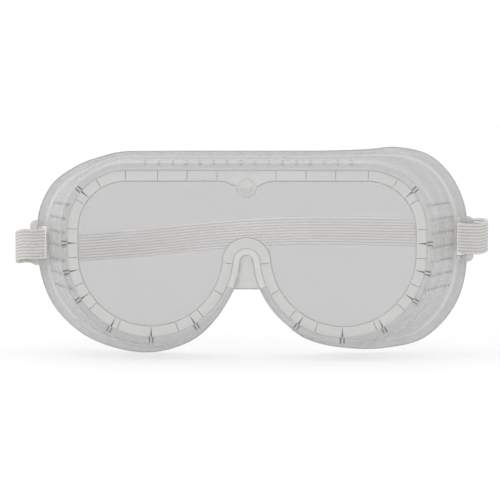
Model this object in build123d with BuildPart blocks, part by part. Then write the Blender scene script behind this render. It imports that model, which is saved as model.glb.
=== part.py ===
from build123d import *
import os
from math import cos, radians, sin, sqrt

# Clear splash goggles: one soft moulding that holds a flat lens, with an elastic strap from ear to ear.
# The lens faces -Y, the wearer's face is on the +Y side, and Z is up. Left is the wearer's left, at +X.
# The moulding is made as several nodes that meet face to face: rim, walls with their flange, nose and ears.
# Outlines are drawn about the eye centre line, which lies eye_z above the lowest edge of the flange, and
# depths run back from the rim's front face. Finished pieces are moved so that the origin lies on the surface
# that the goggles stand on, under the middle of goggles and strap.

# Eye outline: the edge of the lens opening, two round lobes with fuller upper corners and a nose arch.
lobe_r = 29.0
corner_r = 19.5
arch_r = 9.8
arch_drop = 3.2
lobe_x = sqrt((lobe_r + arch_r) ** 2 - arch_drop**2)

# Rim, groove and lens, as growth outward from the eye outline and as depth back from the front face.
lens_grow = 4.3
groove_grow = 4.6
back_lip_grow = 1.2
rim_grow = 7.4
front_lip = 2.0
lens_t = 2.0
back_lip = 2.0
rim_back = front_lip + lens_t + back_lip
slit_w = 0.4
slit_len = 3.6
slit_run_in = 1.0
tab_r = 4.2
tab_drop = 2.4
tab_t = 1.4

# Walls and face flange.
wall_t = 1.8
flange_t = 1.6
flange_w = 4.4
flange_share = 0.6
bottom_reach = 5.4
eye_z = 42.13

# Depth of the flange's face side: it follows brow, temples and cheeks, and comes forward at the nose.
brow_y = 32.0
temple_rise = 18.0
half_width = 90.5
nose_y = 17.0
nose_near = 5.0
nose_spread = 25.0
nose_end_angle = -165.0

# Nose bridge: a sloping web between the lobes, cut straight along its lower edge.
web_low = -14.4
web_t = 1.8

# Vents: plain holes.
vent_r = 0.5
vent_rows = 7
vent_columns = 7
vent_row_pitch = 5.7
vent_column_pitch = 4.6
vent_first_y = 11.0
vent_mid_z = 2.1
brow_vents = 16
brow_vent_pitch = 5.6
brow_vent_y = 16.0
brow_vent_r = 0.6

# Ears: a tab on each temple with an upright slot for the strap.
ear_z = 2.6
ear_in = 85.8
ear_out = 92.8
ear_h = 19.0
ear_front = 43.2
ear_t = 2.4
ear_gap = 0.3
slot_in = 86.8
slot_out = 90.0
slot_h = 14.4

# Strap.
strap_w = 12.7
strap_t = 1.4
loop_r = 4.9
loop_x = 92.4
loop_y = 40.5
loop_join_y = 54.0
loop_end_y = 60.0
swing_gap = 0.3
strap_x = 91.7
swing_y = loop_end_y + swing_gap + strap_w / 2
strap_back = 132.0
stitch_t = 0.35
stitch_len = 4.0
stitch_h = 10.0


def front_plane(depth):
    """The upright plane that lies depth behind the front face, with its normal towards the viewer."""
    return Plane(origin=(0, depth, eye_z), x_dir=(1, 0, 0), z_dir=(0, -1, 0))


def eye_sketch(depth, grow):
    """The eye outline grown outward by grow, as a face on the plane at depth."""
    r, corner, arch = lobe_r + grow, corner_r + grow, arch_r - grow
    corner_x, corner_z = lobe_x + lobe_r - corner_r, lobe_r - corner_r
    diagonal = corner * cos(radians(45))
    side_x = lobe_x + r
    along = r / (lobe_r + arch_r)
    foot_x, foot_z = lobe_x * (1 - along), -arch_drop * along
    with BuildSketch(front_plane(depth)) as sketch:
        with BuildLine():
            Line((-corner_x, r), (corner_x, r))
            for s in (1, -1):
                corner_mid = (s * (corner_x + diagonal), corner_z + diagonal)
                ThreePointArc((s * corner_x, r), corner_mid, (s * side_x, corner_z))
                Line((s * side_x, corner_z), (s * side_x, 0))
                ThreePointArc((s * side_x, 0), (s * lobe_x, -r), (s * foot_x, foot_z))
            ThreePointArc((-foot_x, foot_z), (0, arch - arch_drop), (foot_x, foot_z))
        make_face()
    return sketch.sketch


def face_depth(x, z):
    """Depth of the flange's face side at a point of the outline."""
    curve = brow_y + temple_rise * (x / half_width) ** 2
    if z > 0:
        return curve
    near = min(max((abs(x) - nose_near) / nose_spread, 0), 1)
    return nose_y + (curve - nose_y) * near**2 * (3 - 2 * near)


def corner_spot(angle, reach):
    """A station on the rim's upper corner: foot point, outward direction and the flange's reach."""
    r = corner_r + rim_grow
    out = (cos(radians(angle)), sin(radians(angle)))
    foot = (lobe_x + lobe_r - corner_r + r * out[0], lobe_r - corner_r + r * out[1])
    return foot, out, reach


def lobe_spot(angle, reach):
    """A station on the rim's round lower lobe."""
    r = lobe_r + rim_grow
    out = (cos(radians(angle)), sin(radians(angle)))
    return (lobe_x + r * out[0], r * out[1]), out, reach


def top_spot(x, reach):
    """A station on the rim's straight top."""
    return (x, lobe_r + rim_grow), (0, 1), reach


def flip(spot):
    """The same station on the wearer's right side."""
    foot, out, reach = spot
    return (-foot[0], foot[1]), (-out[0], out[1]), reach


def wall_segment(spots):
    """Lofts the wall and its flange through the stations in spots."""
    with BuildPart() as wall:
        for foot, out, reach in spots:
            depth = face_depth(foot[0] + out[0] * reach, foot[1] + out[1] * reach) - rim_back
            flare = reach - min(flange_w, flange_share * reach)
            plane = Plane(
                origin=(foot[0], rim_back, eye_z + foot[1]),
                x_dir=(out[0], 0, out[1]),
                z_dir=(-out[1], 0, out[0]),
            )
            with BuildSketch(plane):
                with BuildLine():
                    outer = [(0, 0), (0.45 * flare, 0.5 * depth)]
                    outer += [(flare, depth - flange_t), (reach, depth - flange_t)]
                    inner = [(-wall_t, 0), (0.45 * flare - wall_t, 0.5 * depth)]
                    inner += [(flare - wall_t, depth), (reach, depth)]
                    Bezier(*outer)
                    Line(outer[-1], inner[-1])
                    Bezier(*inner)
                    Line(inner[0], outer[0])
                make_face()
        loft()
    return wall.part


def mirrored(piece):
    """The same piece on the other side."""
    with BuildPart() as copy:
        mirror(piece, about=Plane.YZ)
    return copy.part


def finish(piece, name):
    """Moves a finished piece over the origin, labels it and writes it as its own STEP file."""
    with BuildPart() as placed:
        with Locations((0, -(strap_back + strap_t / 2) / 2, 0)):
            add(piece)
    placed.part.label = name
    export_step(placed.part, f"parts/{name}.step")


# Rim: front lip, groove wall and back lip, with slits in the front lip and a round tab at the top.
with BuildPart() as lens_rim:
    extrude(eye_sketch(rim_back, rim_grow), amount=rim_back)
    extrude(eye_sketch(rim_back, back_lip_grow), amount=back_lip, mode=Mode.SUBTRACT)
    extrude(eye_sketch(front_lip + lens_t, groove_grow), amount=lens_t, mode=Mode.SUBTRACT)
    extrude(eye_sketch(front_lip, 0), amount=front_lip, mode=Mode.SUBTRACT)
    with BuildSketch(front_plane(front_lip)):
        with Locations((0, lobe_r - tab_drop)):
            Circle(tab_r)
    extrude(amount=tab_t)
    slit_cut = slit_len + slit_run_in
    slit_mid = lobe_r + slit_len - slit_cut / 2
    with BuildSketch(front_plane(front_lip)):
        for s in (1, -1):
            with Locations((s * lobe_x, 0)):
                with PolarLocations(slit_mid, 8, 191.25 + 8.75 * s, 157.5, endpoint=True):
                    Rectangle(slit_cut, slit_w)
        with GridLocations(11.5, 0, 8, 1):
            with Locations((0, slit_mid)):
                Rectangle(slit_w, slit_cut)
    extrude(amount=front_lip, mode=Mode.SUBTRACT)

# Lens: one flat sheet that fills the groove.
with BuildPart() as lens:
    extrude(eye_sketch(front_lip + lens_t, lens_grow), amount=lens_t)

# Walls with the face flange. Stations run from the brow round the temple to the nose.
brow_corner = corner_spot(45, 10.3)
temple_low = lobe_spot(-45, 12.0)
cheek_end = lobe_spot(-135, 0.9)
half_brow = [brow_corner, corner_spot(67.5, 5.8), top_spot(lobe_x + lobe_r - corner_r, 4.5), top_spot(24, 4.6)]
brow_spots = half_brow + [top_spot(0, 4.6)] + [flip(spot) for spot in reversed(half_brow)]
temple_spots = [brow_corner, corner_spot(22.5, 14.0), corner_spot(0, 15.4)]
temple_spots += [lobe_spot(0, 15.4), lobe_spot(-22.5, 15.0), temple_low]
cheek_spots = [temple_low, lobe_spot(-67.5, 7.8), lobe_spot(-90, bottom_reach), lobe_spot(-112.5, 3.6), cheek_end]
nose_spots = [cheek_end, lobe_spot(-150, 0), lobe_spot(-157.5, 0), lobe_spot(nose_end_angle, 0)]

with BuildPart() as brow_wall:
    add(wall_segment(brow_spots))
    with BuildSketch(Plane.XY.offset(eye_z + lobe_r)):
        with Locations((0, brow_vent_y)):
            with GridLocations(brow_vent_pitch, 0, brow_vents, 1):
                Circle(brow_vent_r)
    extrude(amount=2 * rim_grow, mode=Mode.SUBTRACT)

with BuildPart() as temple_wall:
    add(wall_segment(temple_spots))
    with BuildSketch(Plane.YZ.offset(lobe_x + lobe_r)):
        middle_y = vent_first_y + vent_column_pitch * (vent_columns - 1) / 2
        with Locations((middle_y, eye_z + vent_mid_z)):
            with GridLocations(vent_column_pitch, vent_row_pitch, vent_columns, vent_rows):
                Circle(vent_r)
    extrude(amount=half_width - lobe_x - lobe_r, mode=Mode.SUBTRACT)
    pocket_h = ear_h + 2 * ear_gap
    with BuildSketch(Plane.YZ.offset(ear_in)):
        with Locations((brow_y, eye_z + ear_z)):
            Rectangle(2 * brow_y, pocket_h)
    extrude(amount=ear_out, mode=Mode.SUBTRACT)

cheek_wall = wall_segment(cheek_spots)
nose_wall = wall_segment(nose_spots)

# Nose bridge: the sloping web, trimmed to the round lobes that it joins.
with BuildPart() as nose_bridge:
    with BuildSketch(Plane.YZ):
        with BuildLine():
            top_z = eye_z + arch_r - rim_grow - arch_drop
            low_z = eye_z + web_low
            Line((rim_back, top_z), (nose_y - web_t, low_z))
            Line((nose_y - web_t, low_z), (nose_y, low_z))
            Line((nose_y, low_z), (rim_back, top_z + web_t * 1.6))
            Line((rim_back, top_z + web_t * 1.6), (rim_back, top_z))
        make_face()
    extrude(amount=lobe_x / 2, both=True)
    with BuildSketch(front_plane(nose_y)):
        with Locations((lobe_x, 0), (-lobe_x, 0)):
            Circle(lobe_r + rim_grow)
    extrude(amount=nose_y, mode=Mode.SUBTRACT)

# Ear: a flat tab with rounded outer corners and the strap's slot.
with BuildPart() as ear:
    with BuildSketch(front_plane(ear_front + ear_t)):
        with Locations(((ear_in + ear_out) / 2, ear_z)):
            Rectangle(ear_out - ear_in, ear_h)
        outer_corners = vertices().group_by(Axis.X)[-1]
        fillet(outer_corners, radius=2.4)
        with Locations(((slot_in + slot_out) / 2, ear_z)):
            RectangleRounded(slot_out - slot_in, slot_h, 0.8, mode=Mode.SUBTRACT)
    extrude(amount=ear_t)

# Strap loop: the strap's end goes through the slot, round the ear's bar and back.
strap_low = eye_z + ear_z - strap_w / 2
with BuildPart() as strap_loop:
    with BuildSketch(Plane.XY.offset(strap_low)):
        with BuildLine():
            ply = strap_t / 2
            Line((strap_x - ply, loop_join_y), (loop_x - loop_r, loop_y))
            ThreePointArc((loop_x - loop_r, loop_y), (loop_x, loop_y - loop_r), (loop_x + loop_r, loop_y))
            Line((loop_x + loop_r, loop_y), (strap_x + ply, loop_join_y))
        trace(line_width=strap_t)
        with Locations((strap_x, (loop_join_y + loop_end_y) / 2)):
            Rectangle(2 * strap_t, loop_end_y - loop_join_y)
    extrude(amount=strap_w)

# Bar tack: thread on both faces of the closed loop.
with BuildPart() as strap_stitch:
    tack_mid = (loop_join_y + loop_end_y) / 2
    for tack_x in (strap_x + strap_t + stitch_t / 2, strap_x - strap_t - stitch_t / 2):
        with Locations((tack_x, tack_mid, eye_z + ear_z)):
            Box(stitch_t, stitch_len, stitch_h)

# Head strap: a band that runs back from each loop and round behind the head.
with BuildPart() as head_strap:
    with BuildSketch(Plane.XY.offset(strap_low)):
        with Locations((0, swing_y)):
            Ellipse(strap_x + strap_t / 2, strap_back - swing_y + strap_t / 2)
            Ellipse(strap_x - strap_t / 2, strap_back - swing_y - strap_t / 2, mode=Mode.SUBTRACT)
        with Locations((0, swing_y - strap_back)):
            Rectangle(4 * strap_x, 2 * strap_back, mode=Mode.SUBTRACT)
    extrude(amount=strap_w)
    for s in (1, -1):
        with BuildSketch(Plane.YZ.offset(s * strap_x)):
            with Locations((swing_y, eye_z + ear_z)):
                Circle(strap_w / 2)
        extrude(amount=strap_t / 2, both=True)

os.makedirs("parts", exist_ok=True)
finish(lens_rim.part, "lens_rim")
finish(lens.part, "lens")
finish(brow_wall.part, "brow_wall")
finish(nose_bridge.part, "nose_bridge")
finish(head_strap.part, "head_strap")
paired = {
    "temple_wall": temple_wall.part,
    "cheek_wall": cheek_wall,
    "nose_wall": nose_wall,
    "strap_ear": ear.part,
    "strap_loop": strap_loop.part,
    "strap_stitch": strap_stitch.part,
}
for name, piece in paired.items():
    finish(piece, f"{name}_left")
    finish(mirrored(piece), f"{name}_right")
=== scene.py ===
from math import atan2, ceil, cos, degrees, hypot, pi, radians, sin, sqrt

import bmesh
import bpy
import numpy as np
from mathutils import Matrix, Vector


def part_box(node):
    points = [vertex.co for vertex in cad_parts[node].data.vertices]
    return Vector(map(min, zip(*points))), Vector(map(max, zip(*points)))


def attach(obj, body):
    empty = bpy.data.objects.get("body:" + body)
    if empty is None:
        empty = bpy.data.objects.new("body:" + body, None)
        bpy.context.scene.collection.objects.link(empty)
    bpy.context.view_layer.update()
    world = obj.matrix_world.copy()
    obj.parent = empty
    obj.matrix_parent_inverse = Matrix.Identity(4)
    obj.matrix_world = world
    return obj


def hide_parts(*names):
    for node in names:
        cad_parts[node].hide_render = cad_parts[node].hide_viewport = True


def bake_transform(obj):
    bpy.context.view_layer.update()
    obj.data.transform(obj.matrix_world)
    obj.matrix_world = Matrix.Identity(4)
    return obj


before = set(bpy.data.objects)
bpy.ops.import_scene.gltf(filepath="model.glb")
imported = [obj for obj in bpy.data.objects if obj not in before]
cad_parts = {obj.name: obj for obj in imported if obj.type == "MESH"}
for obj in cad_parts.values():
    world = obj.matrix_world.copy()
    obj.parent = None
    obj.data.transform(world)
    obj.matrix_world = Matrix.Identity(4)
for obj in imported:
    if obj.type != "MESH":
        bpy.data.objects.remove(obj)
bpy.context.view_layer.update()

# Clear splash goggles with an elastic strap. The lens faces -Y and Z is up, as in the frame.
# Shapes are drawn in millimetres about the eye centre line: x to the wearer's left, z up, and depth back from
# the rim's front face. place() turns such a point into the frame's metres.
MM = 0.001
lens_low, lens_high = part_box("lens")
rim_low, rim_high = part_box("lens_rim")
ear_low, ear_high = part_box("strap_ear_left")
band_low, band_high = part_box("head_strap")
eye_z = (lens_low.z + lens_high.z) / 2
front_y = rim_low.y


def place(x, z, depth):
    """A point of the drawing in the frame's metres."""
    return (x * MM, front_y + depth * MM, eye_z + z * MM)


def depth_of(y):
    """Depth in millimetres of a place along Y in the frame."""
    return (y - front_y) / MM


# Eye outline, as growth 0: the edge of the lens opening.
lens_grow = 4.3
lobe_r = (lens_high.z - lens_low.z) / 2 / MM - lens_grow
corner_r = 19.5
arch_r = 9.8
arch_drop = 3.2
lobe_x = sqrt((lobe_r + arch_r) ** 2 - arch_drop**2)
corner_x, corner_z = lobe_x + lobe_r - corner_r, lobe_r - corner_r
side_x = lobe_x + lobe_r
tangent_angle = -180 + degrees(atan2(arch_drop, lobe_x))

# Rim, walls and flange.
rim_grow = 7.4
rim_back = depth_of(rim_high.y)
wall_t = 1.8
flange_t = 1.6
flange_w = 4.4
flange_share = 0.6
brow_depth, temple_rise, half_width = 32.0, 18.0, 90.5
nose_depth, nose_near, nose_spread = 17.0, 5.0, 25.0
web_z = -15.4
web_x = lobe_x - sqrt((lobe_r + rim_grow) ** 2 - web_z**2)
web_angle = -180 + degrees(atan2(-web_z, lobe_x - web_x))
station_step = 1.3


# ---------------------------------------------------------------- materials

# Noise scales, in cycles per metre: cloudiness, specks and ripples of the plastic, fuzz and patches of the
# elastic, and the twist of the thread.
cloud_scale, speck_scale, ripple_scale = 45, 260, 60
fuzz_scale, patch_scale, twist_scale = 1500, 30, 2600
# Cycles per metre of the plastic's flow lines along the moulding, outward from the lens, and in depth.
flow_scale = (7, 430, 70)
# The share of clear plastic's cover that light passes on its way to what is behind.
light_share = 0.8


def new_material(name):
    """A new material, its nodes and links, and its Principled shader."""
    made = bpy.data.materials.new(name)
    made.use_nodes = True
    nodes = made.node_tree.nodes
    return made, nodes, made.node_tree.links, nodes["Principled BSDF"]


def add_noise(nodes, links, scale, detail=2.0):
    """A noise texture in the object's own metres."""
    where = nodes.new("ShaderNodeTexCoord")
    noise = nodes.new("ShaderNodeTexNoise")
    noise.inputs["Scale"].default_value = scale
    noise.inputs["Detail"].default_value = detail
    links.new(where.outputs["Object"], noise.inputs["Vector"])
    return noise.outputs["Fac"]


def add_ramp(nodes, links, value, stops):
    """A colour ramp over value. Stops are (position, grey or colour)."""
    ramp = nodes.new("ShaderNodeValToRGB")
    elements = ramp.color_ramp.elements
    for index, (position, colour) in enumerate(stops):
        element = elements[index] if index < 2 else elements.new(position)
        element.position = position
        rgb = (colour,) * 3 if isinstance(colour, (int, float)) else colour
        element.color = (*rgb, 1)
    links.new(value, ramp.inputs["Fac"])
    return ramp.outputs["Color"]


def add_mix(nodes, links, factor, first, second, kind="MIX"):
    """A colour mix. Factor, first and second are sockets, or numbers and colours."""
    mix = nodes.new("ShaderNodeMix")
    mix.data_type = "RGBA"
    mix.blend_type = kind
    for socket, value in ((mix.inputs[0], factor), (mix.inputs[6], first), (mix.inputs[7], second)):
        if isinstance(value, (int, float)):
            socket.default_value = value
        elif isinstance(value, tuple):
            socket.default_value = (*value, 1)
        else:
            links.new(value, socket)
    return mix.outputs[2]


def add_bump(nodes, links, shader, height, strength, distance):
    """Bump from a height socket into the shader's normal."""
    bump = nodes.new("ShaderNodeBump")
    bump.inputs["Strength"].default_value = strength
    bump.inputs["Distance"].default_value = distance
    links.new(height, bump.inputs["Height"])
    links.new(bump.outputs["Normal"], shader.inputs["Normal"])


def see_through(name, tint, edge_tint, alpha, edge_alpha, rough, streaks=0.0):
    """Clear plastic, see-through face on and denser where the surface turns away, with streaks if asked for."""
    made, nodes, links, shader = new_material(name)
    turn = nodes.new("ShaderNodeLayerWeight")
    turn.inputs["Blend"].default_value = 0.45
    facing = turn.outputs["Facing"]
    cloud = add_ramp(nodes, links, add_noise(nodes, links, cloud_scale, 3), [(0.3, 0.96), (0.7, 1.0)])
    body = add_mix(nodes, links, facing, tint, edge_tint)
    colour = add_mix(nodes, links, 1.0, body, cloud, "MULTIPLY")
    if streaks:
        flow = add_flow(nodes, links)
        tone = add_ramp(nodes, links, flow, [(0.3, 1 - streaks), (0.7, 1.0)])
        colour = add_mix(nodes, links, 1.0, colour, tone, "MULTIPLY")
    add_bump(nodes, links, shader, add_noise(nodes, links, ripple_scale, 1), rough / 8, 0.0003)
    links.new(colour, shader.inputs["Base Color"])
    cover = add_ramp(nodes, links, facing, [(0.0, alpha), (1.0, edge_alpha)])
    links.new(let_light_by(nodes, links, cover, light_share), shader.inputs["Alpha"])
    speck = add_noise(nodes, links, speck_scale, 2)
    links.new(add_ramp(nodes, links, speck, [(0.35, rough), (0.65, rough * 1.3)]), shader.inputs["Roughness"])
    shader.inputs["IOR"].default_value = 1.3
    shader.inputs["Specular IOR Level"].default_value = 0.35
    return made


def let_light_by(nodes, links, cover, share):
    """Cover less a share of it for shadow and diffuse rays, so that clear plastic casts only a light shadow."""
    path = nodes.new("ShaderNodeLightPath")
    either = nodes.new("ShaderNodeMath")
    either.operation = "MAXIMUM"
    links.new(path.outputs["Is Shadow Ray"], either.inputs[0])
    links.new(path.outputs["Is Diffuse Ray"], either.inputs[1])
    kept = nodes.new("ShaderNodeMath")
    kept.operation = "MULTIPLY_ADD"
    kept.inputs[1].default_value = -share
    kept.inputs[2].default_value = 1.0
    links.new(either.outputs[0], kept.inputs[0])
    lighter = nodes.new("ShaderNodeMath")
    lighter.operation = "MULTIPLY"
    links.new(cover, lighter.inputs[0])
    links.new(kept.outputs[0], lighter.inputs[1])
    return lighter.outputs[0]


def add_flow(nodes, links):
    """Lines that run round the moulding, as in the flow of the plastic, from its walk and growth attributes."""
    where = nodes.new("ShaderNodeTexCoord")
    split = nodes.new("ShaderNodeSeparateXYZ")
    links.new(where.outputs["Object"], split.inputs[0])
    walk = nodes.new("ShaderNodeAttribute")
    walk.attribute_name = "walk"
    growth = nodes.new("ShaderNodeAttribute")
    growth.attribute_name = "growth"
    join = nodes.new("ShaderNodeCombineXYZ")
    links.new(walk.outputs["Fac"], join.inputs[0])
    links.new(growth.outputs["Fac"], join.inputs[1])
    links.new(split.outputs[1], join.inputs[2])
    stretch = nodes.new("ShaderNodeVectorMath")
    stretch.operation = "MULTIPLY"
    stretch.inputs[1].default_value = flow_scale
    links.new(join.outputs[0], stretch.inputs[0])
    noise = nodes.new("ShaderNodeTexNoise")
    noise.inputs["Scale"].default_value = 1.0
    noise.inputs["Detail"].default_value = 1.0
    links.new(stretch.outputs[0], noise.inputs["Vector"])
    return noise.outputs["Fac"]


# Each plastic's tint, edge-on tint, alpha, edge-on alpha and roughness, and its streaks if it has any.
body_vinyl = see_through("clear_vinyl", (0.465, 0.47, 0.465), (0.52, 0.525, 0.52), 0.5, 0.9, 0.24, 0.13)
lip_vinyl = see_through("vinyl_over_lens", (0.635, 0.635, 0.62), (0.46, 0.465, 0.46), 0.74, 0.95, 0.22, 0.06)
# Painted shade: dark lines along the lip's edges, the flange's tip and the nose arch.
edge_shade_vinyl = see_through("vinyl_edge_painted_shade", (0.40, 0.40, 0.395), (0.30, 0.305, 0.30), 0.7, 0.95, 0.25)
# Painted shade: the dark wedges and stubs at the ribs.
rib_shade_vinyl = see_through("vinyl_rib_painted_shade", (0.16, 0.165, 0.16), (0.10, 0.105, 0.10), 0.85, 0.95, 0.3)
# Painted shade: the dark walls of the vent holes.
vent_shade_vinyl = see_through("vinyl_vent_painted_shade", (0.26, 0.265, 0.26), (0.18, 0.185, 0.18), 0.75, 0.95, 0.35)
# Painted shade: the darker walls of the lip's slits.
slit_shade_vinyl = see_through("vinyl_slit_painted_shade", (0.46, 0.46, 0.455), (0.36, 0.36, 0.355), 0.6, 0.85, 0.35)
gate_vinyl = see_through("vinyl_gate", (0.56, 0.555, 0.545), (0.44, 0.44, 0.435), 0.42, 0.75, 0.3)
ear_vinyl = see_through("vinyl_ear", (0.56, 0.565, 0.56), (0.40, 0.405, 0.40), 0.5, 0.9, 0.25)
web_vinyl = see_through("vinyl_nose_web", (0.60, 0.60, 0.59), (0.50, 0.505, 0.50), 0.45, 0.85, 0.22, 0.06)
# Painted highlight: the pale strip along the flange's fold.
fold_highlight_vinyl = see_through("vinyl_flange_fold_painted_highlight", (0.62, 0.62, 0.615), (0.58, 0.585, 0.58), 0.55, 0.9, 0.22)
lens_face = see_through("clear_lens_face", (0.22, 0.22, 0.22), (0.22, 0.22, 0.22), 0.33, 0.4, 0.06)
# Painted shade: the dark bevelled edge of the lens.
lens_edge_shade = see_through("lens_edge_painted_shade", (0.24, 0.245, 0.24), (0.15, 0.155, 0.15), 0.8, 0.95, 0.15)


def elastic_material():
    """Ribbed elastic: pale ribs with painted shade in the valleys, fine cross threads, and darker towards each
    end.
    """
    made, nodes, links, shader = new_material("ribbed_elastic")
    along = nodes.new("ShaderNodeAttribute")
    along.attribute_name = "along"
    across = nodes.new("ShaderNodeAttribute")
    across.attribute_name = "across"

    def wave(source, pitch, phase=0.0):
        """A sine of the attribute, from 0 to 1, that repeats every pitch."""
        scaled = nodes.new("ShaderNodeMath")
        scaled.operation = "MULTIPLY_ADD"
        scaled.inputs[1].default_value = 2 * pi / pitch
        scaled.inputs[2].default_value = phase
        links.new(source.outputs["Fac"], scaled.inputs[0])
        wavy = nodes.new("ShaderNodeMath")
        wavy.operation = "SINE"
        links.new(scaled.outputs[0], wavy.inputs[0])
        lifted = nodes.new("ShaderNodeMath")
        lifted.operation = "MULTIPLY_ADD"
        lifted.inputs[1].default_value = 0.5
        lifted.inputs[2].default_value = 0.5
        links.new(wavy.outputs[0], lifted.inputs[0])
        return lifted.outputs[0]

    rib = wave(across, strap_w * MM / rib_count, pi / 2)
    thread = wave(along, thread_pitch_mm * MM)
    fuzz = add_noise(nodes, links, fuzz_scale, 3)
    patch = add_ramp(nodes, links, add_noise(nodes, links, patch_scale, 2), [(0.3, 0.93), (0.7, 1.0)])
    # The darker valley tone is painted shade between the ribs.
    rib_tones_valley_shade = [(0.0, (0.81, 0.79, 0.77)), (0.5, (0.78, 0.76, 0.74)), (1.0, (0.60, 0.583, 0.566))]
    ribs = add_ramp(nodes, links, rib, rib_tones_valley_shade)
    threads = add_ramp(nodes, links, thread, [(0.0, 0.90), (0.5, 1.0)])
    woven = add_mix(nodes, links, 1.0, ribs, threads, "MULTIPLY")
    from_end = nodes.new("ShaderNodeAttribute")
    from_end.attribute_name = "from_end"
    # Darker over the last stretch towards each end of the strap.
    toward_ends_tone = add_ramp(nodes, links, from_end.outputs["Fac"], [(0.5, 0.85), (0.75, 1.0)])
    mottled = add_mix(nodes, links, 1.0, woven, patch, "MULTIPLY")
    links.new(add_mix(nodes, links, 1.0, mottled, toward_ends_tone, "MULTIPLY"), shader.inputs["Base Color"])
    height = nodes.new("ShaderNodeMath")
    height.operation = "ADD"
    links.new(thread, height.inputs[0])
    links.new(fuzz, height.inputs[1])
    add_bump(nodes, links, shader, height.outputs[0], 0.5, 0.00015)
    links.new(add_ramp(nodes, links, fuzz, [(0.3, 0.78), (0.7, 0.92)]), shader.inputs["Roughness"])
    shader.inputs["Sheen Weight"].default_value = 0.15
    shader.inputs["Sheen Roughness"].default_value = 0.5
    shader.inputs["Specular IOR Level"].default_value = 0.2
    return made


def thread_material():
    """Matt white sewing thread with a fine twist."""
    made, nodes, links, shader = new_material("sewing_thread")
    twist = add_noise(nodes, links, twist_scale, 2)
    tone = add_ramp(nodes, links, twist, [(0.3, (0.66, 0.64, 0.62)), (0.7, (0.76, 0.745, 0.73))])
    links.new(tone, shader.inputs["Base Color"])
    add_bump(nodes, links, shader, twist, 0.4, 0.0001)
    links.new(add_ramp(nodes, links, twist, [(0.3, 0.7), (0.7, 0.85)]), shader.inputs["Roughness"])
    shader.inputs["Specular IOR Level"].default_value = 0.25
    return made


# ---------------------------------------------------------------- mesh helpers


def new_piece(name, points, faces, materials, smooth_angle=32):
    """A mesh object from points in metres, smooth except along edges sharper than smooth_angle."""
    mesh = bpy.data.meshes.new(name)
    mesh.from_pydata([tuple(p) for p in points], [], faces)
    for material in materials:
        mesh.materials.append(material)
    mesh.validate()
    outward = bmesh.new()
    outward.from_mesh(mesh)
    bmesh.ops.recalc_face_normals(outward, faces=outward.faces)
    outward.to_mesh(mesh)
    outward.free()
    piece = bpy.data.objects.new(name, mesh)
    bpy.context.scene.collection.objects.link(piece)
    shade(piece, smooth_angle)
    return piece


def shade(piece, smooth_angle):
    """Smooth shading with sharp edges above smooth_angle degrees."""
    piece.data.shade_smooth()
    piece.data.set_sharp_from_angle(angle=radians(smooth_angle))


def tube_faces(rings, size, closed=False, first=0):
    """Quads that join each ring of size points to the next, with flat caps if the tube isn't closed."""
    faces = []
    for ring in range(rings if closed else rings - 1):
        here, there = first + ring * size, first + (ring + 1) % rings * size
        for k in range(size):
            k_next = (k + 1) % size
            faces.append((here + k, here + k_next, there + k_next, there + k))
    if not closed:
        faces.append(tuple(first + k for k in reversed(range(size))))
        faces.append(tuple(first + (rings - 1) * size + k for k in range(size)))
    return faces


def bezier(control, count):
    """Points along a cubic Bezier, ends included."""
    a, b, c, d = (np.array(p, float) for p in control)
    t = np.linspace(0, 1, count)[:, None]
    return (1 - t) ** 3 * a + 3 * (1 - t) ** 2 * t * b + 3 * (1 - t) * t**2 * c + t**3 * d


def smooth_between(knots, at):
    """A smooth curve through knots of (place, value) with no overshoot, read at each place in at."""
    xs, ys = np.array(knots, float).T
    slopes = np.diff(ys) / np.diff(xs)
    tangents = np.zeros(len(xs))
    for k in range(1, len(xs) - 1):
        if slopes[k - 1] * slopes[k] > 0:
            tangents[k] = 2 * slopes[k - 1] * slopes[k] / (slopes[k - 1] + slopes[k])
    at = np.clip(at, xs[0], xs[-1])
    k = np.clip(np.searchsorted(xs, at, side="right") - 1, 0, len(xs) - 2)
    h = xs[k + 1] - xs[k]
    t = (at - xs[k]) / h
    start = ys[k] * (1 + 2 * t) * (1 - t) ** 2 + tangents[k] * h * t * (1 - t) ** 2
    return start + ys[k + 1] * t**2 * (3 - 2 * t) - tangents[k + 1] * h * t**2 * (1 - t)


def boolean(piece, cutter, operation):
    """Applies a boolean of cutter to piece and removes the cutter."""
    modifier = piece.modifiers.new("cut", "BOOLEAN")
    modifier.object = cutter
    modifier.operation = operation
    modifier.solver = "EXACT"
    depsgraph = bpy.context.evaluated_depsgraph_get()
    mesh = bpy.data.meshes.new_from_object(piece.evaluated_get(depsgraph))
    piece.modifiers.clear()
    piece.data = mesh
    bpy.data.objects.remove(cutter)


# ---------------------------------------------------------------- goggle frame


def outline():
    """Stations round half of the eye outline, top middle to nose arch: foot point and outward direction."""
    spots = []

    def steps(length):
        return max(2, ceil(length / station_step))

    for x in np.linspace(0, corner_x, steps(corner_x), endpoint=False):
        spots.append(((x, lobe_r), (0.0, 1.0)))
    for a in np.linspace(90, 0, steps(corner_r * pi / 2), endpoint=False):
        out = (cos(radians(a)), sin(radians(a)))
        spots.append(((corner_x + corner_r * out[0], corner_z + corner_r * out[1]), out))
    for z in np.linspace(corner_z, 0, steps(corner_z), endpoint=False):
        spots.append(((side_x, z), (1.0, 0.0)))
    for a in np.linspace(0, tangent_angle, steps(-radians(tangent_angle) * lobe_r), endpoint=False):
        out = (cos(radians(a)), sin(radians(a)))
        spots.append(((lobe_x + lobe_r * out[0], lobe_r * out[1]), out))
    for a in np.linspace(180 + tangent_angle, 90, steps(arch_r * pi / 2)):
        up = (cos(radians(a)), sin(radians(a)))
        spots.append(((arch_r * up[0], arch_r * up[1] - arch_drop), (-up[0], -up[1])))
    return spots


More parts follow.
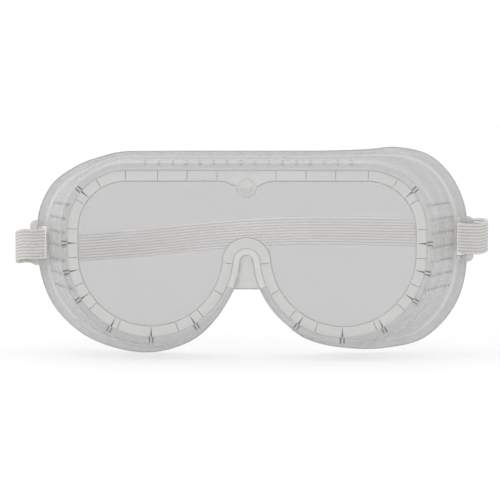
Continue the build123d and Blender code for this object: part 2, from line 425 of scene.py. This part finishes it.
def face_depth(x, z):
    """Depth of the flange's face side at a point of the outline."""
    curve = brow_depth + temple_rise * (x / half_width) ** 2
    near = np.clip((abs(x) - nose_near) / nose_spread, 0, 1)
    cheek = nose_depth + (curve - nose_depth) * near**2 * (3 - 2 * near)
    return curve if z > 0 else cheek


def walk_marks():
    """Distance walked along the eye outline to the start of its side line, to the lobe and to the nose arch."""
    side = corner_x + corner_r * pi / 2
    lobe = side + corner_z
    return side, lobe, lobe + lobe_r * -radians(tangent_angle)


# The flange's reach beyond the rim: along the brow, along the temple, at 67.5, 45 and 22.5 degrees of the upper
# corner, and at the lobe angles, where it fades to nothing. The soft moulding sits a little askew, so the
# wearer's left (1) and right (-1) differ.
brow_reach, brow_end, corner_start, corner_askew, temple_reach = 4.5, 24, 4.7, 0.4, 15.4
lobe_angles = (-22.5, -45, -67.5, -90, -112.5, -135, -150)
last_lobe_reach = (0.9, 0.0)
corner_reach = {1: (8.6, 13.0, 14.6), -1: (5.0, 8.3, 13.2)}
lobe_reach = {1: (16.2, 14.4, 8.2, 4.4, 3.4), -1: (15.0, 12.4, 8.8, 6.4, 3.9)}


def reach_knots(s):
    """The flange's reach beyond the rim, at places along the walk, on side s."""
    side, lobe, _ = walk_marks()
    quarter = corner_r * pi / 8
    knots = [(0, brow_reach), (brow_end, brow_reach), (corner_x, corner_start + corner_askew * s)]
    knots += [(corner_x + (k + 1) * quarter, reach) for k, reach in enumerate(corner_reach[s])]
    knots += [(side, temple_reach), (lobe, temple_reach)]
    below = zip(lobe_angles, lobe_reach[s] + last_lobe_reach)
    return knots + [(lobe + lobe_r * -radians(angle), reach) for angle, reach in below]


# Finishes of the moulding, in the order of its materials.
BODY, LIP, EDGE_SHADE, RIB_SHADE, VENT_SHADE, SLIT_SHADE, GATE, EAR, WEB, FOLD_HIGHLIGHT = range(10)

# The moulding's section, as (growth, depth): the front lip over the lens, then the rim's shoulder after a
# shallow step, and last the groove behind that holds the lens.
lip_end = 3.9
lip_section = [(0.0, 1.95), (-0.12, 1.5), (-0.02, 0.95), (0.3, 0.55), (0.9, 0.4), (lip_end, 0.4)]
shoulder_section = [(4.2, 0.33), (4.6, 0.06), (5.0, 0.0), (6.3, 0.0), (6.95, 0.18), (7.3, 0.6)]
shoulder_section += [(rim_grow, 1.3), (rim_grow, 4.0)]
groove_section = [(5.4, rim_back), (1.6, rim_back), (1.28, 5.85), (1.2, 5.5), (1.2, 4.4), (1.3, 4.12)]
groove_section += [(1.6, 4.05), (4.5, 4.05), (4.5, 1.95)]
# The lip dips by tab_sag below the round tab, over tab_reach to each side.
tab_sag, tab_reach = 3.2, 11.0
# Rows of the wall, and the strip of them at the flange's fold that takes a painted highlight.
wall_rows, fold_highlight_row = 12, 7


def frame_section(foot, out, walk, reach, web_share):
    """One closed section of the moulding, as rows of x, z, depth."""
    foot, out = np.array(foot), np.array(out)
    rim_edge = foot + rim_grow * out
    if web_share is None:
        tip = rim_edge + reach * out
        tip_depth = face_depth(*tip)
        flange = min(flange_w, flange_share * reach)
    else:
        tip = np.array([web_x * (1 - web_share), web_z])
        tip_depth, flange = nose_depth, 0.0
    away = tip - rim_edge
    lean = away + 1.5 * out
    lean = lean / np.linalg.norm(lean)
    length = np.linalg.norm(away)
    flare = away * (1 - flange / length) if length > 1e-6 else away
    deep = tip_depth - rim_back
    sag = tab_sag * cos(pi / 2 * min(walk / tab_reach, 1)) ** 2 if walk < tab_reach else 0.0

    def row(spot, depth):
        return (spot[0], spot[1], rim_back + depth)

    rows = []
    for s, d in lip_section:
        rows.append((*(foot + (s - sag * max(0.0, 1 - max(s, 0) / lip_end)) * out), d))
    rows += [(*(foot + s * out), d) for s, d in shoulder_section]
    outer = [row(rim_edge, 0), row(rim_edge + 0.45 * flare, 0.5 * deep), row(rim_edge + flare, deep - flange_t)]
    outer.append(row(tip - 0.5 * lean, deep - flange_t))
    rows += [tuple(p) for p in bezier(outer, wall_rows)]
    rows += [row(tip - 0.15 * lean, deep - flange_t + 0.14), row(tip, deep - flange_t / 2)]
    rows.append(row(tip - 0.15 * lean, deep - 0.14))
    inset = wall_t * out
    inner = [row(tip - 0.5 * lean, deep), row(rim_edge + flare - inset, deep)]
    inner += [row(rim_edge + 0.45 * flare - inset, 0.5 * deep), row(rim_edge - inset, 0.25)]
    rows += [tuple(p) for p in bezier(inner, wall_rows)]
    rows += [(*(foot + s * out), d) for s, d in groove_section]
    return rows


def section_finishes():
    """The finish of each strip of the section: painted shade at the lip's edges and the flange's tip, and a
    painted highlight along the fold.
    """
    finishes = [LIP] * len(lip_section) + [BODY] * (len(shoulder_section) - 1 + wall_rows) + [EDGE_SHADE] * 4
    finishes += [BODY] * (wall_rows - 1) + [LIP] * (len(groove_section) + 1)
    for strip in (2, len(lip_section)):
        finishes[strip] = EDGE_SHADE
    # The fold's strip takes the painted highlight.
    finishes[len(lip_section) + len(shoulder_section) + fold_highlight_row] = FOLD_HIGHLIGHT
    return finishes


def web_finishes():
    """The finish of each strip where the moulding bridges the nose: a greyer shoulder with a line of painted
    shade, and a pale web.
    """
    swap = {BODY: WEB, FOLD_HIGHLIGHT: WEB}
    finishes = [swap.get(finish, finish) for finish in section_finishes()]
    shoulder = len(lip_section)
    finishes[shoulder + 1 : shoulder + 6] = [LIP] * 5
    finishes[shoulder + 4] = EDGE_SHADE
    return finishes


def sweep_frame():
    """The whole moulding as one closed skin: rim, groove, walls, flange and nose web."""
    spots = outline()
    walks = np.cumsum([0] + [hypot(b[0][0] - a[0][0], b[0][1] - a[0][1]) for a, b in zip(spots, spots[1:])])
    lobe = walk_marks()[1]
    web_start = lobe + lobe_r * -radians(web_angle)
    halves = []
    for s in (1, -1):
        half = []
        for (foot, out), walk, reach in zip(spots, walks, smooth_between(reach_knots(s), walks)):
            share = None if walk < web_start else (walk - web_start) / (walks[-1] - web_start)
            half.append([(s * x, z, d) for x, z, d in frame_section(foot, out, walk, reach, share)])
        halves.append(half)
    rings = halves[0] + halves[1][-2:0:-1]
    points = [place(*row) for rows in rings for row in rows]
    faces = tube_faces(len(rings), len(rings[0]), closed=True)
    piece = new_piece("goggle_frame", points, faces, frame_materials)
    finishes = []
    web_first = int(np.searchsorted(walks, web_start))
    for ring in range(len(rings)):
        in_web = web_first <= ring < len(rings) - web_first
        finishes += web_finishes() if in_web else section_finishes()
    piece.data.polygons.foreach_set("material_index", finishes)
    return piece


def mark_flow(piece):
    """Gives each point its walk round the eye outline and its growth beyond it, in metres."""
    feet = np.array([foot for foot, _ in outline()])
    steps = np.diff(feet, axis=0)
    lengths = np.linalg.norm(steps, axis=1)
    walks = np.concatenate([[0], np.cumsum(lengths)])
    co = np.array([v.co for v in piece.data.vertices])
    flat = np.stack([abs(co[:, 0]) / MM, (co[:, 2] - eye_z) / MM], axis=1)
    offset = flat[:, None] - feet[None, :-1]
    share = np.clip((offset * steps).sum(axis=2) / lengths**2, 0, 1)
    gaps = np.linalg.norm(offset - share[:, :, None] * steps, axis=2)
    nearest = gaps.argmin(axis=1)
    walk = walks[nearest] + (share * lengths)[np.arange(len(flat)), nearest]
    for name, values in (("walk", walk), ("growth", gaps.min(axis=1))):
        piece.data.attributes.new(name, "FLOAT", "POINT").data.foreach_set("value", values * MM)


def corner_spot(angle):
    """A station on the upper corner, at an angle about its centre."""
    out = (cos(radians(angle)), sin(radians(angle)))
    return (corner_x + corner_r * out[0], corner_z + corner_r * out[1]), out


def lobe_spot(angle):
    """A station on the round lower lobe."""
    out = (cos(radians(angle)), sin(radians(angle)))
    return (lobe_x + lobe_r * out[0], lobe_r * out[1]), out


def flip(spot):
    """The same station on the wearer's right side."""
    foot, out = spot
    return (-foot[0], foot[1]), (-out[0], out[1])


def both_sides(spots):
    """The stations on both sides."""
    return spots + [flip(spot) for spot in spots]


slit_spots = [((x, lobe_r), (0.0, 1.0)) for x in (11.8, 23.8, 35.6)]
slit_spots += [corner_spot(angle) for angle in (89, 59, 31, 1)]
slit_spots += [lobe_spot(angle) for angle in (-3, -23.5, -42.5, -66, -110, -130, -150.5, -173)]
rib_spots = [corner_spot(40.5), ((side_x, 4.2), (1.0, 0.0))]
rib_spots += [lobe_spot(angle) for angle in (-12.6, -33, -61.5, -90.5, -122.5)]


class Parts:
    """Points and faces of several closed shells, gathered into one mesh."""

    def __init__(self):
        self.points, self.faces, self.finishes = [], [], []

    def add(self, rings, size, points, finish, other=None, other_strips=()):
        """Adds a capped tube of rings in one finish, apart from the strips that take the other finish."""
        first = len(self.points)
        faces = tube_faces(rings, size, False, first)
        self.points += points
        self.faces += faces
        strips = [k % size for k in range(size * (rings - 1))] + [None, None]
        self.finishes += [other if strip in other_strips else finish for strip in strips]

    def piece(self, name, materials, smooth_angle=32):
        """All the shells as one object, with their finishes."""
        made = new_piece(name, self.points, self.faces, materials, smooth_angle)
        made.data.polygons.foreach_set("material_index", self.finishes)
        return made


def ridge_rings(spot, ends):
    """Sections across a station's outward direction. Each end is (growth, [(sideways, depth), ...])."""
    foot, out = np.array(spot[0]), np.array(spot[1])
    side = np.array((-out[1], out[0]))
    return [place(*(foot + s * out + w * side), d) for s, section in ends for w, d in section]


def add_lathe(parts, centre, rows, finish, sides=40):
    """A turned shape about the line of sight through centre, from rows of (radius, depth)."""
    points = []
    for r, d in rows:
        for k in range(sides):
            a = 2 * pi * k / sides
            points.append(place(centre[0] + r * cos(a), centre[1] + r * sin(a), d))
    parts.add(len(rows), sides, points, finish)


def add_drill(parts, middle, axis, radius, length, sides=12):
    """A round bar about middle, along X or Z of the drawing; the walls it leaves take painted shade."""
    points = []
    for end in (-length / 2, length / 2):
        for k in range(sides):
            a = 2 * pi * (k + 0.5) / sides
            u, v = radius * cos(a), radius * sin(a)
            x, z, d = middle
            points.append(place(x + end, z + u, d + v) if axis == "X" else place(x + u, z + end, d + v))
    parts.add(2, sides, points, VENT_SHADE)


tab_r, tab_drop = 4.2, 2.4
rib_inner, rib_outer, stub_inner, stub_outer = 0.5, 4.25, 4.5, 6.7


def added_details():
    """What stands on the moulding's front: the round tab, and a wedge and a stub at each rib, darkened with
    painted shade.
    """
    parts = Parts()
    tab_rows = [(0.02, 0.62), (2.35, 0.62), (2.65, 0.32), (3.6, 0.28), (4.0, 0.42), (tab_r, 0.8), (tab_r, 1.7)]
    tab_rows += [(4.0, 1.93), (0.02, 1.93)]
    add_lathe(parts, (0, lobe_r - tab_drop), tab_rows, GATE)
    wedge_thin = [(-0.2, 0.9), (0, 0.3), (0.2, 0.9)]
    wedge_wide = [(-0.85, 0.9), (0, -0.05), (0.85, 0.9)]
    half = [(1.05, 0.4), (0.9, -0.35), (0.62, -0.4), (0.4, -0.08)]
    stub = [(-w, d) for w, d in half] + list(reversed(half))
    for spot in both_sides(rib_spots):
        parts.add(2, 3, ridge_rings(spot, [(rib_inner, wedge_thin), (rib_outer, wedge_wide)]), RIB_SHADE)
        rings = ridge_rings(spot, [(stub_inner, stub), (stub_outer, stub)])
        parts.add(2, len(stub), rings, RIB_SHADE, BODY, (3, 7))
    return parts.piece("details", frame_materials)


# Vents: rows and columns of round holes through each temple wall, and one row through the brow wall.
vent_count, vent_pitch, vent_row_pitch, vent_first, vent_mid_z = 7, 4.6, 5.7, 11.0, 2.1
vent_r, vent_x, vent_reach = 0.5, 77.5, 27
brow_vent_count, brow_vent_pitch, brow_vent_depth = 16, 5.6, 16.0
brow_vent_r, brow_vent_z, brow_vent_reach = 0.6, 39.0, 14
slit_inner, slit_outer = -1.6, 4.2


def cuts():
    """What is cut out of the moulding: the lip's slits, the temple vents and the brow vents, their walls in
    painted shade.
    """
    parts = Parts()
    slit_front = [(-0.22, -1.0), (0.22, -1.0), (0.06, 2.3), (-0.06, 2.3)]
    for spot in both_sides(slit_spots):
        parts.add(2, 4, ridge_rings(spot, [(slit_inner, slit_front), (slit_outer, slit_front)]), SLIT_SHADE)
    for s in (1, -1):
        for row in range(vent_count):
            z = vent_mid_z + vent_row_pitch * (row - (vent_count - 1) / 2)
            for column in range(vent_count):
                middle = (s * vent_x, z, vent_first + vent_pitch * column)
                add_drill(parts, middle, "X", vent_r, vent_reach)
    for k in range(brow_vent_count):
        x = brow_vent_pitch * (k - (brow_vent_count - 1) / 2)
        add_drill(parts, (x, brow_vent_z, brow_vent_depth), "Z", brow_vent_r, brow_vent_reach)
    return parts.piece("cuts", frame_materials)


def rounded_rect(x_low, x_high, z_low, z_high, radius_out, radius_in, steps=6):
    """Corner points of a rectangle with rounded corners: radius_out at x_high and radius_in at x_low."""
    corners = [(x_high, z_low, radius_out, -90), (x_high, z_high, radius_out, 0)]
    corners += [(x_low, z_high, radius_in, 90), (x_low, z_low, radius_in, 180)]
    points = []
    for x, z, r, start in corners:
        cx = x - r if x == x_high else x + r
        cz = z - r if z == z_high else z + r
        for k in range(steps + 1):
            a = radians(start + 90 * k / steps)
            points.append((cx + r * cos(a), cz + r * sin(a)))
    return points


ear_in, ear_out = ear_low.x / MM, ear_high.x / MM
ear_bottom, ear_top = (ear_low.z - eye_z) / MM, (ear_high.z - eye_z) / MM
ear_front, ear_back = depth_of(ear_low.y), depth_of(ear_high.y)
ear_mid = (ear_bottom + ear_top) / 2
ear_root, ear_corner, root_corner, ear_bevel = 1.6, 2.6, 0.6, 0.45
slot_in, slot_out, slot_half, slot_corner = 86.0, 89.6, 6.8, 0.9
# How far each ear is pulled up by its end of the strap.
ear_shift = {1: 1.4, -1: -0.5}


def ear_piece(s):
    """A strap ear: a rounded tab with an upright slot, bevelled on both faces."""
    low, high, mid = ear_bottom + ear_shift[s], ear_top + ear_shift[s], ear_mid + ear_shift[s]

    def ring(outer, grow, depth):
        """The ear's outer edge or its slot's edge, grown outward by grow."""
        if outer:
            root = ear_in - ear_root - grow
            loop = rounded_rect(root, ear_out + grow, low - grow, high + grow, ear_corner, root_corner)
        else:
            slot_low, slot_high, corner = mid - slot_half - grow, mid + slot_half + grow, slot_corner + grow
            loop = rounded_rect(slot_in - grow, slot_out + grow, slot_low, slot_high, corner, corner)
        return [place(s * x, z, depth) for x, z in loop]

    front, back = ear_front + ear_bevel, ear_back - ear_bevel
    rings = [ring(True, -ear_bevel, ear_front), ring(True, 0, front), ring(True, 0, back)]
    rings += [ring(True, -ear_bevel, ear_back), ring(False, ear_bevel, ear_back), ring(False, 0, back)]
    rings += [ring(False, 0, front), ring(False, ear_bevel, ear_front)]
    points = [p for r in rings for p in r]
    faces = tube_faces(len(rings), len(rings[0]), closed=True)
    made = new_piece("ear", points, faces, frame_materials)
    made.data.polygons.foreach_set("material_index", [EAR] * len(faces))
    return made


pocket_out, pocket_front, pocket_back = ear_out + 8, 30.0, 60.0


def pocket_cut():
    """The room beside each ear, where the strap passes the flange."""
    parts = Parts()
    for s in (1, -1):
        mid = ear_mid + ear_shift[s]
        loop = rounded_rect(slot_in, pocket_out, mid - slot_half, mid + slot_half, 1.0, 1.0, 4)
        points = [place(s * x, z, d) for d in (pocket_front, pocket_back) for x, z in loop]
        parts.add(2, len(loop), points, BODY)
    return parts.piece("pockets", frame_materials)


def make_goggles():
    """The moulding with everything on it and cut into it."""
    piece = sweep_frame()
    boolean(piece, pocket_cut(), "DIFFERENCE")
    for s in (1, -1):
        boolean(piece, ear_piece(s), "UNION")
    boolean(piece, added_details(), "UNION")
    boolean(piece, cuts(), "DIFFERENCE")
    mark_flow(piece)
    shade(piece, 32)
    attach(piece, "frame")
    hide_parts("lens_rim", "brow_wall", "nose_bridge")
    for side in ("left", "right"):
        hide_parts(*(f"{part}_{side}" for part in ("temple_wall", "cheek_wall", "nose_wall", "strap_ear")))
    return piece


# ---------------------------------------------------------------- lens

# The lens's section, as (growth, depth), bevelled at each face.
lens_section = [(3.9, 2.06), (lens_grow, 2.4), (lens_grow, 3.6), (3.9, 3.94)]


def make_lens():
    """The flat lens: clear faces with a bevelled edge darkened by painted shade."""
    spots = outline()
    loop = spots + [flip(spot) for spot in reversed(spots[1:-1])]
    points = [place(*(np.array(foot) + s * np.array(out)), d) for s, d in lens_section for foot, out in loop]
    faces = tube_faces(len(lens_section), len(loop))
    piece = new_piece("clear_lens", points, faces, [lens_face, lens_edge_shade])
    is_edge = [0 if len(face) > 4 else 1 for face in faces]
    piece.data.polygons.foreach_set("material_index", is_edge)
    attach(piece, "frame")
    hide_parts("lens")


# ---------------------------------------------------------------- strap

strap_w = (band_high.z - band_low.z) / MM
rib_count = 10
thread_pitch_mm = 0.8
band_x, band_start = 91.7, 66.65
band_back = depth_of(band_high.y) - 0.7
path_step = 1.6
# Ribs: places across each rib, from its valley, and the band's half thickness there.
rib_shares = (0.0, 0.1, 0.28, 0.5, 0.72, 0.9)
valley_half_t, rib_rise = 0.44, 0.2
# The strap's from_end attribute is the distance from its nearer free end over this length in metres.
end_tone_length = 0.1
# The strap's height round the head: (angle from the wearer's left, height).
band_sag = [(0, 5.6), (20, 4.6), (45, 3.6), (75, 3.3), (90, 2.4), (105, 0.7)]
band_sag += [(128, -2.1), (150, -2.9), (180, -1.4)]


def smooth_path(points, step):
    """Points about step apart along a smooth curve through the given ones."""
    points = np.array(points, float)
    walked = np.concatenate([[0], np.cumsum(np.linalg.norm(np.diff(points, axis=0), axis=1))])
    ends = np.vstack([2 * points[0] - points[1], points, 2 * points[-1] - points[-2]])
    made = []
    for k in range(len(points) - 1):
        a, b, c, d = ends[k : k + 4]
        count = max(2, ceil((walked[k + 1] - walked[k]) / step))
        for t in np.arange(count) / count:
            square, cube = (2 * a - 5 * b + 4 * c - d) * t**2, (3 * b - a - 3 * c + d) * t**3
            made.append(0.5 * (2 * b + (c - a) * t + square + cube))
    made.append(points[-1])
    return np.array(made)


def loop_points(s, heights):
    """The strap's end through the ear and back. Heights are of its free end, front, outer run and joint."""
    tail, front, run, joint = heights
    flat = [(91.0, tail, 60.4), (91.0, tail, 56.5), (90.5, tail, 53.0), (88.6, (tail + front) / 2, 47.5)]
    flat += [(86.7, front, 42.0), (87.2, front, 37.8), (90.6, front, 35.6), (95.0, front, 35.9)]
    flat += [(97.8, (front + run) / 2, 39.2), (97.6, run, 44.5), (95.4, run, 49.6), (93.1, joint, 54.0)]
    flat += [(92.45, joint, 57.4), (92.3, joint, 61.0)]
    return [(s * x, z, d) for x, z, d in flat]


def strap_path():
    """The whole strap from free end to free end: through one ear, round the head and through the other."""
    left = loop_points(1, (4.8, 4.4, 6.2, 6.0))
    right = loop_points(-1, (2.9, 1.8, -0.3, -0.9))
    angles = np.linspace(3, 177, 30)
    heights = smooth_between(band_sag, angles)
    band = []
    for a, z in zip(angles, heights):
        band.append((band_x * cos(radians(a)), z, band_start + (band_back - band_start) * sin(radians(a))))
    return smooth_path(left + band + right[::-1], path_step)


def make_strap():
    """One continuous ribbed ribbon."""
    path = strap_path()
    length = np.linalg.norm(np.diff(path, axis=0), axis=1).sum()
    pitch = strap_w / rib_count
    across, half_t = [], []
    for rib in range(rib_count):
        for share in rib_shares:
            across.append(-strap_w / 2 + pitch * (rib + share))
            half_t.append(valley_half_t + rib_rise * sqrt(max(0.0, 1 - (2 * share - 1) ** 2)))
    across, half_t = np.array(across[1:]), np.array(half_t[1:])
    edge = strap_w / 2
    ring = [(-edge, 0.0)] + list(zip(across, half_t)) + [(edge, 0.0)]
    ring += list(zip(across[::-1], -half_t[::-1]))
    points, along, over = [], [], []
    walked = 0.0
    for k, (x, z, d) in enumerate(path):
        before, after = path[max(k - 1, 0)], path[min(k + 1, len(path) - 1)]
        heading = np.array((after[0] - before[0], after[2] - before[2]))
        heading = heading / np.linalg.norm(heading)
        walked += 0 if k == 0 else np.linalg.norm(path[k] - path[k - 1])
        for w, t in ring:
            points.append(place(x - heading[1] * t, z + w, d + heading[0] * t))
            along.append(walked * MM)
            over.append(w * MM)
    faces = tube_faces(len(path), len(ring))
    piece = new_piece("elastic_strap", points, faces, [elastic_material()], 50)
    along = np.array(along)
    from_end = np.minimum(along, length * MM - along) / end_tone_length
    for name, values in (("along", along), ("across", over), ("from_end", from_end)):
        piece.data.attributes.new(name, "FLOAT", "POINT").data.foreach_set("value", values)
    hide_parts("head_strap", "strap_loop_left", "strap_loop_right")
    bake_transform(piece)


# Bar tacks: the zigzag's two depths, the x of the strap's faces that it lies on, and its stitches.
tack_low, tack_high, tack_inner, tack_outer = 55.6, 58.6, 90.25, 93.2
stitch_count, stitch_rise, stitch_arch, thread_r = 15, 0.62, 0.22, 0.2


def stitch_rings(start, end, bulge, sides=6, steps=6):
    """A short length of thread, arched by bulge along x so that both ends dip into the band."""
    start, end = np.array(start), np.array(end)
    heading = (end - start) / np.linalg.norm(end - start)
    side = np.array((0, -heading[2], heading[1]))
    points = []
    for t in np.linspace(0, 1, steps):
        middle = start + t * (end - start) + np.array((bulge * sin(pi * t), 0, 0))
        for k in range(sides):
            a = 2 * pi * k / sides
            points.append(place(*(middle + thread_r * (np.array((cos(a), 0, 0)) + sin(a) * side))))
    return points


def make_bar_tack(side, s, middle):
    """Zigzag stitching through the strap's two plies, on both faces."""
    parts = Parts()
    sides, steps = 6, 6
    for x, bulge in ((tack_inner, -stitch_arch), (tack_outer, stitch_arch)):
        for k in range(stitch_count):
            low = middle + stitch_rise * (k - stitch_count / 2)
            ends = ((s * x, low, tack_low), (s * x, low + stitch_rise, tack_high))
            start, end = ends if k % 2 == 0 else ((s * x, low, tack_high), (s * x, low + stitch_rise, tack_low))
            parts.add(steps, sides, stitch_rings(start, end, s * bulge, sides, steps), 0)
    piece = parts.piece(f"bar_tack_{side}", [thread], 60)
    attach(piece, "frame")
    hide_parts(f"strap_stitch_{side}")


frame_materials = [body_vinyl, lip_vinyl, edge_shade_vinyl, rib_shade_vinyl, vent_shade_vinyl]
frame_materials += [slit_shade_vinyl, gate_vinyl, ear_vinyl, web_vinyl, fold_highlight_vinyl]
make_goggles()
make_lens()
make_strap()
thread = thread_material()
make_bar_tack("left", 1, 5.4)
make_bar_tack("right", -1, 1.0)

# ---------------------------------------------------------------- floor, light and camera


def make_floor():
    """A plain pale floor under the lowest point of the goggles."""
    far = 40.0
    low = bpy.data.objects["goggle_frame"].bound_box[0][2]
    mesh = bpy.data.meshes.new("floor")
    corners = [(-far, -far, low), (far, -far, low), (far, far, low), (-far, far, low)]
    mesh.from_pydata(corners, [], [(0, 1, 2, 3)])
    floor = bpy.data.objects.new("floor", mesh)
    bpy.context.scene.collection.objects.link(floor)
    made, nodes, links, shader = new_material("pale_floor")
    tone = add_ramp(nodes, links, add_noise(nodes, links, 3, 2), [(0.3, 0.93), (0.7, 0.95)])
    links.new(tone, shader.inputs["Base Color"])
    shader.inputs["Roughness"].default_value = 0.9
    shader.inputs["Specular IOR Level"].default_value = 0.1
    mesh.materials.append(made)


def make_surroundings():
    """White light from all round, a little stronger from the wearer's right, and how it is shown."""
    from_right, from_left = 1.26, 0.94
    world = bpy.data.worlds.new("studio")
    world.use_nodes = True
    nodes, links = world.node_tree.nodes, world.node_tree.links
    where = nodes.new("ShaderNodeTexCoord")
    split = nodes.new("ShaderNodeSeparateXYZ")
    links.new(where.outputs["Generated"], split.inputs[0])
    across = nodes.new("ShaderNodeMapRange")
    across.inputs["From Min"].default_value = -1
    across.inputs["From Max"].default_value = 1
    across.inputs["To Min"].default_value = from_right
    across.inputs["To Max"].default_value = from_left
    links.new(split.outputs[0], across.inputs["Value"])
    links.new(across.outputs[0], nodes["Background"].inputs["Strength"])
    nodes["Background"].inputs["Color"].default_value = (1, 1, 1, 1)
    bpy.context.scene.world = world
    bpy.context.scene.view_settings.view_transform = "Standard"
    bpy.context.scene.cycles.transparent_max_bounces = 48


def make_band_light():
    """A soft light above, on the inner face of the strap only."""
    light_data = bpy.data.lights.new("band_light", "AREA")
    light_data.shape = "RECTANGLE"
    light_data.size, light_data.size_y = 0.16, 0.03
    light_data.energy = 0.24
    light = bpy.data.objects.new("band_light", light_data)
    bpy.context.scene.collection.objects.link(light)
    light.location = (0, -0.008, 0.16)
    light.rotation_mode = "QUATERNION"
    light.rotation_quaternion = Vector((0, 0.8, -0.75)).to_track_quat("-Z", "Y")
    lit = bpy.data.collections.new("lit_by_band_light")
    lit.objects.link(bpy.data.objects["elastic_strap"])
    light.light_linking.receiver_collection = lit


def make_camera():
    """A camera in front, slightly above and to the wearer's left."""
    distance, azimuth, elevation = 0.95, radians(2.4), radians(3.2)
    view_width, sensor_width = 0.2, 36
    camera_data = bpy.data.cameras.new("camera")
    camera = bpy.data.objects.new("camera", camera_data)
    bpy.context.scene.collection.objects.link(camera)
    camera_data.sensor_width = sensor_width
    camera_data.lens = sensor_width * distance / view_width
    camera_data.clip_start = 0.01
    camera_data.clip_end = 100
    target = Vector(place(1.4, 1.6, 0))
    back = Vector((sin(azimuth) * cos(elevation), -cos(azimuth) * cos(elevation), sin(elevation)))
    camera.location = target + back * distance
    camera.rotation_mode = "QUATERNION"
    camera.rotation_quaternion = (-back).to_track_quat("-Z", "Y")
    bpy.context.scene.camera = camera


make_floor()
make_surroundings()
make_band_light()
make_camera()
